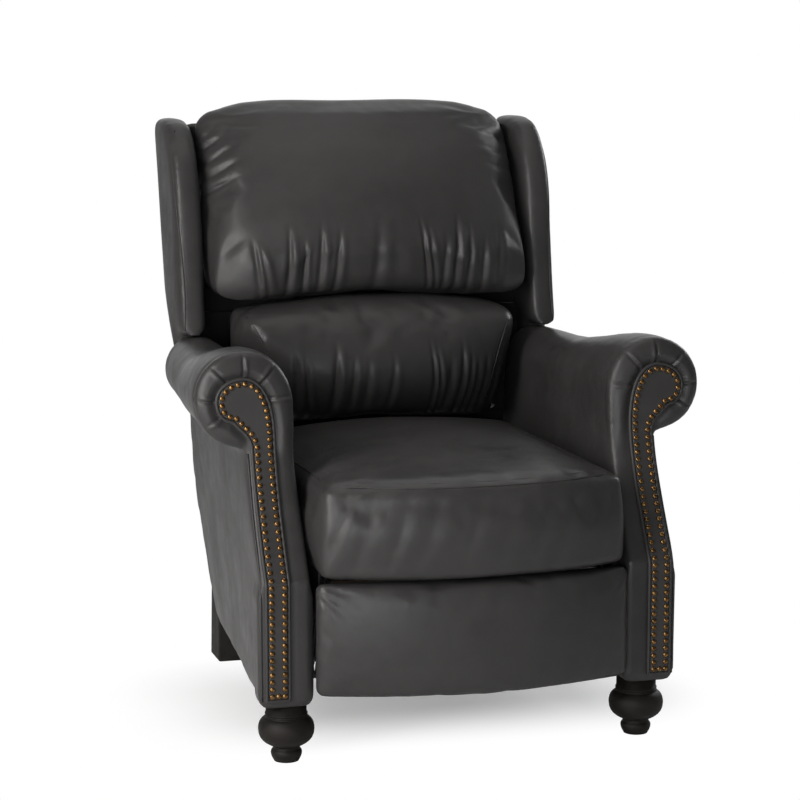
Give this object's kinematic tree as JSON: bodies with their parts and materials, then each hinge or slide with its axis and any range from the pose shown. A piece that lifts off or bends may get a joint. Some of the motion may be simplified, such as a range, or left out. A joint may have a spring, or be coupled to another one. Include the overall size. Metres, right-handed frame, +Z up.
{
  "type": "wingback recliner",
  "caption": "Push-back wing recliner in dark leather with rolled, nailed arms, turned front feet and a folding footrest.",
  "frame": {"origin": "on the floor, under the middle of the chair's outer box", "axes": "+Z up, +Y towards the back of the chair, +X across it towards the right arm as seen from the front"},
  "size_m": [0.86, 0.9466, 1.037],
  "materials": {
    "leather": "dark charcoal leather with a soft satin shine",
    "welt_leather": "the same leather over a cord",
    "dark_wood": "very dark brown stained wood, satin lacquer",
    "frame_wood": "plain unfinished frame timber",
    "link_steel": "dark painted steel strip",
    "spring_steel": "bare spring wire"
  },
  "bodies": {
    "base": {"arm_left": "leather", "arm_right": "leather", "arm_facing_left": "leather", "arm_facing_right": "leather", "arm_welt_left": "welt_leather", "arm_welt_right": "welt_leather", "front_foot_left": "dark_wood", "front_foot_right": "dark_wood", "rear_leg_left": "dark_wood", "rear_leg_right": "dark_wood", "base_side_rail_left": "frame_wood", "base_side_rail_right": "frame_wood", "base_plate_left": "link_steel", "base_plate_right": "link_steel", "base_front_rail": "frame_wood", "base_rear_rail": "frame_wood"},
    "back": {"wing_left": "leather", "wing_right": "leather", "back_stile_left": "frame_wood", "back_stile_right": "frame_wood", "back_bracket_left": "link_steel", "back_bracket_right": "link_steel", "back_panel": "leather", "back_lower_rail": "frame_wood", "back_wing_rail": "frame_wood", "back_top_rail": "frame_wood", "lumbar_cushion": "leather", "head_cushion": "leather"},
    "seat": {"seat_plate_left": "link_steel", "seat_plate_right": "link_steel", "seat_side_rail_left": "frame_wood", "seat_side_rail_right": "frame_wood", "seat_cushion": "leather", "seat_front_rail": "frame_wood", "seat_rear_rail": "frame_wood", "seat_spring_1": "spring_steel", "seat_spring_2": "spring_steel", "seat_spring_3": "spring_steel", "seat_spring_4": "spring_steel"},
    "main_links": {"main_link_left": "link_steel", "main_link_right": "link_steel"},
    "guide_links": {"guide_link_left": "link_steel", "guide_link_right": "link_steel", "cross_tube": "link_steel"},
    "front_links": {"front_link_left": "link_steel", "front_link_right": "link_steel"},
    "tie_links": {"tie_link_left": "link_steel", "tie_link_right": "link_steel"},
    "footrest": {"footrest_bracket_left": "link_steel", "footrest_bracket_right": "link_steel", "footrest_board": "frame_wood", "footrest_pad": "leather"}
  },
  "joints": [
    {"name": "back_recline", "type": "hinge", "parent": "base", "child": "back", "pos_m": [0, 0.2267, 0.33], "axis": [-1, 0, 0], "range_deg": [0, 35]},
    {"name": "seat_glide", "type": "slide", "parent": "base", "child": "seat", "axis": [0, -1, 0], "range_m": [0, 0.05]},
    {"name": "main_link_swing", "type": "hinge", "parent": "seat", "child": "main_links", "pos_m": [0, -0.3183, 0.285], "axis": [-1, 0, 0], "range_deg": [0, 85]},
    {"name": "guide_link_swing", "type": "hinge", "parent": "seat", "child": "guide_links", "pos_m": [0, -0.2898, 0.27], "axis": [-1, 0, 0], "range_deg": [0, 87.41]},
    {"name": "front_link_swing", "type": "hinge", "parent": "main_links", "child": "front_links", "pos_m": [0, -0.2573, 0.1465], "axis": [1, 0, 0], "range_deg": [0, 113]},
    {"name": "tie_link_swing", "type": "hinge", "parent": "main_links", "child": "tie_links", "pos_m": [0, -0.2688, 0.116], "axis": [1, 0, 0], "range_deg": [0, 113.16]},
    {"name": "footrest_turn", "type": "hinge", "parent": "front_links", "child": "footrest", "pos_m": [0, -0.3088, 0.2865], "axis": [-1, 0, 0], "range_deg": [0, 111]}
  ],
  "couplings": [
    {"joint": "seat_glide", "follows": "back_recline", "m_per_rad": 0.08185},
    {"joint": "main_link_swing", "follows": "back_recline", "ratio": 2.4286},
    {"joint": "guide_link_swing", "follows": "back_recline", "ratio": 2.4974},
    {"joint": "front_link_swing", "follows": "back_recline", "ratio": 3.2286},
    {"joint": "tie_link_swing", "follows": "back_recline", "ratio": 3.2331},
    {"joint": "footrest_turn", "follows": "back_recline", "ratio": 3.1714}
  ]
}
